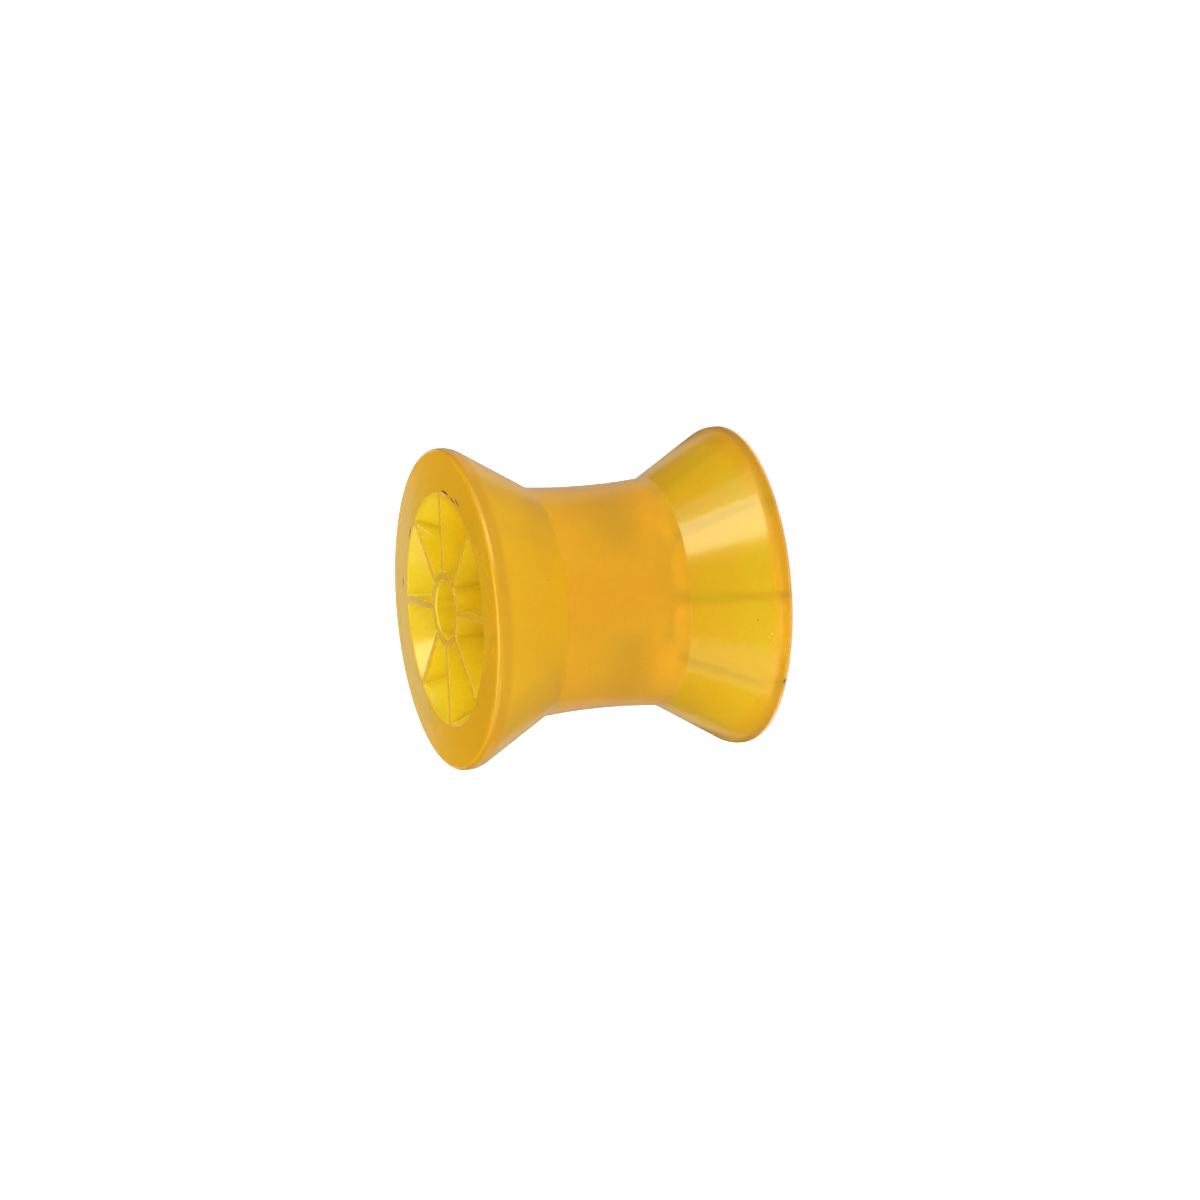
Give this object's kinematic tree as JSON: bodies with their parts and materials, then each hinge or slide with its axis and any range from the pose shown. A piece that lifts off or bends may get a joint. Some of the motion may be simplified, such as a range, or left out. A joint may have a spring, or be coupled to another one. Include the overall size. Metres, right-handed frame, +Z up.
{
  "type": "boat trailer bow roller",
  "caption": "Waisted bow roller moulded in clear amber plastic, with flared ends, ribbed end pockets and a plain through bore for a shaft.",
  "frame": {"origin": "centre of the lower end face, on the bore's axis; the roller stands on that end", "axes": "+Z up along the bore; +X along the middle of one rib, which both ends share"},
  "size_m": [0.0794, 0.0794, 0.0762],
  "materials": {
    "amber_plastic": "semi-gloss translucent moulded plastic, amber right through"
  },
  "bodies": {
    "root": {"roller": "amber_plastic"}
  },
  "joints": []
}
